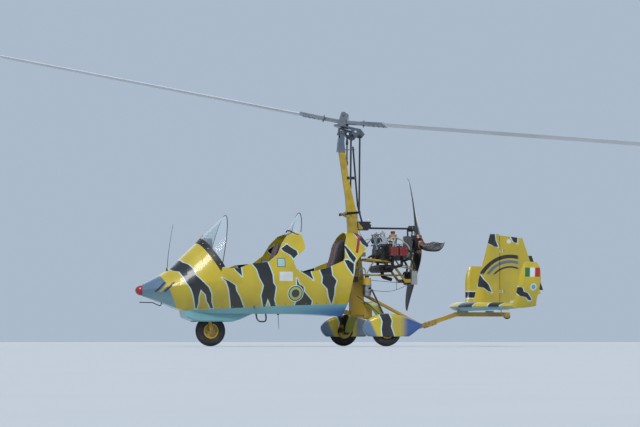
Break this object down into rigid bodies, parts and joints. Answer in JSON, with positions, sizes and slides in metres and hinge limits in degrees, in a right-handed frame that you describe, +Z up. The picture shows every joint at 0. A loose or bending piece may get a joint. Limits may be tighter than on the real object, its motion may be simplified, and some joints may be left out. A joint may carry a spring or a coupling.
{
  "type": "tandem two-seat gyrocopter",
  "caption": "Open tandem gyrocopter with a teetering two-blade rotor on a mast, a rear pusher propeller, tricycle gear with wheel pants and an H-shaped tail.",
  "frame": {"origin": "on the floor, under the middle of the rotor's plan outline, which lies under the rotor hub", "axes": "+X towards the nose, +Y to the left (port) side, +Z up"},
  "size_m": [7.0598, 5.0752, 3.4054],
  "materials": {
    "livery_paint": "glass-fibre laminate in yellow gloss paint with dark stripes",
    "nose_paint": "glass-fibre laminate in red gloss paint",
    "belly_paint": "glass-fibre laminate in pale teal gloss paint fading to blue aft",
    "clear_glazing": "clear acrylic",
    "black_trim": "black rubbery trim",
    "upholstery": "black synthetic leather",
    "panel_black": "satin black",
    "frame_paint": "dull yellow paint",
    "mast_paint": "yellow paint",
    "mount_paint": "yellow paint",
    "engine_cast": "cast aluminium",
    "cylinder_cast": "cast fins with red covers",
    "exhaust_steel": "heat-darkened steel",
    "intake_metal": "cast aluminium",
    "tank_plastic": "tan moulded tank with a red cap",
    "oil_tank_metal": "polished aluminium",
    "radiator_core": "dark core, bare end tanks",
    "dark_metal": "black coated steel",
    "bow_laminate": "yellow-green glass-fibre laminate",
    "pant_paint": "glass-fibre laminate in yellow gloss paint, slate nose and blue tail",
    "tail_paint": "glass-fibre laminate in yellow gloss paint with dark stripes",
    "head_metal": "machined aluminium",
    "hub_metal": "machined aluminium",
    "blade_skin": "silver-white extrusion",
    "prop_hub_metal": "copper-coloured clamps",
    "prop_composite": "black composite",
    "tyre_rubber": "black tyre rubber",
    "rim_paint": "yellow rim",
    "roller_rubber": "black rubber"
  },
  "bodies": {
    "airframe": {"fuselage_shell": "livery_paint", "nose_cap": "nose_paint", "pitot_probe": "dark_metal", "belly_pan": "belly_paint", "front_windscreen": "clear_glazing", "front_screen_trim": "black_trim", "rear_windscreen": "clear_glazing", "front_seat": "upholstery", "rear_seat": "upholstery", "instrument_panel": "panel_black", "control_sticks": "dark_metal", "keel_frame": "frame_paint", "mast": "mast_paint", "engine_mount": "mount_paint", "engine_case": "engine_cast", "cylinders": "cylinder_cast", "exhaust_muffler": "exhaust_steel", "intake": "intake_metal", "coolant_tank": "tank_plastic", "oil_tank": "oil_tank_metal", "radiator": "radiator_core", "prerotator_shaft": "dark_metal", "gear_bow": "bow_laminate", "gear_struts": "dark_metal", "wheel_pant_left": "pant_paint", "wheel_pant_right": "pant_paint", "axles": "dark_metal", "stabiliser": "tail_paint", "outer_fin_left": "tail_paint", "outer_fin_right": "tail_paint", "central_fin": "tail_paint"},
    "head_pitch_block": {"gimbal_block": "head_metal"},
    "head_roll_plate": {"torque_plate": "head_metal"},
    "rotor_hub": {"rotor_drive": "dark_metal"},
    "rotor_blades": {"hub_bar": "hub_metal", "rotor_blade_fore": "blade_skin", "rotor_blade_aft": "blade_skin"},
    "propeller": {"prop_hub": "prop_hub_metal", "prop_blades": "prop_composite"},
    "rudder_blade": {"rudder": "tail_paint"},
    "nose_fork_leg": {"nose_fork": "dark_metal"},
    "nose_wheel": {"tyre_nose": "tyre_rubber", "rim_nose": "rim_paint"},
    "left_wheel": {"tyre_left": "tyre_rubber", "rim_left": "rim_paint"},
    "right_wheel": {"tyre_right": "tyre_rubber", "rim_right": "rim_paint"},
    "tail_roller": {"tail_wheel": "roller_rubber"},
    "head_rods": {"push_rods": "dark_metal"},
    "rod_crank": {"bellcrank": "dark_metal"}
  },
  "joints": [
    {"name": "head_pitch", "type": "hinge", "parent": "airframe", "child": "head_pitch_block", "pos_m": [0.06506, 0, 2.39], "axis": [0, -1, 0], "range_deg": [-9.5, 9]},
    {"name": "head_roll", "type": "hinge", "parent": "head_pitch_block", "child": "head_roll_plate", "pos_m": [0.06962, 0, 2.36542], "axis": [0.9833, 0, 0.1822], "range_deg": [-8.5, 8.5]},
    {"name": "rotor_spin", "type": "hinge", "parent": "head_roll_plate", "child": "rotor_hub", "pos_m": [0.04684, 0, 2.48833], "axis": [-0.1822, 0, 0.9833], "continuous": true},
    {"name": "rotor_teeter", "type": "hinge", "parent": "rotor_hub", "child": "rotor_blades", "pos_m": [0.03007, 0, 2.57878], "axis": [0.5498, 0.829, 0.1019], "range_deg": [-8, 8]},
    {"name": "prop_spin", "type": "hinge", "parent": "airframe", "child": "propeller", "pos_m": [-0.84794, 0, 1.15], "axis": [1, 0, 0], "continuous": true},
    {"name": "rudder_turn", "type": "hinge", "parent": "airframe", "child": "rudder_blade", "pos_m": [-1.83194, 0, 0.85], "axis": [0, 0, 1], "range_deg": [-25, 25]},
    {"name": "nose_steer", "type": "hinge", "parent": "airframe", "child": "nose_fork_leg", "pos_m": [1.59706, 0, 0.402], "axis": [-0.2079, 0, 0.9781], "range_deg": [-25, 25]},
    {"name": "nose_wheel_spin", "type": "hinge", "parent": "nose_fork_leg", "child": "nose_wheel", "pos_m": [1.57506, 0, 0.168], "axis": [0, 1, 0], "continuous": true},
    {"name": "left_wheel_spin", "type": "hinge", "parent": "airframe", "child": "left_wheel", "pos_m": [-0.19994, 0.8, 0.168], "axis": [0, 1, 0], "continuous": true},
    {"name": "right_wheel_spin", "type": "hinge", "parent": "airframe", "child": "right_wheel", "pos_m": [-0.19994, -0.8, 0.168], "axis": [0, 1, 0], "continuous": true},
    {"name": "tail_wheel_spin", "type": "hinge", "parent": "airframe", "child": "tail_roller", "pos_m": [-1.90394, 0, 0.342], "axis": [0, 1, 0], "continuous": true},
    {"name": "head_rods_slide", "type": "slide", "parent": "airframe", "child": "head_rods", "axis": [-0.0107, 0, 0.9999], "range_m": [-0.026, 0.0275]},
    {"name": "rod_crank_turn", "type": "hinge", "parent": "airframe", "child": "rod_crank", "pos_m": [0.03406, 0, 1.475], "axis": [0, -1, 0], "range_deg": [-13, 12.5]}
  ],
  "couplings": [
    {"joint": "head_rods_slide", "follows": "head_pitch", "m_per_rad": -0.162},
    {"joint": "rod_crank_turn", "follows": "head_pitch", "ratio": 1.3279},
    {"joint": "nose_steer", "follows": "rudder_turn", "ratio": -1}
  ]
}
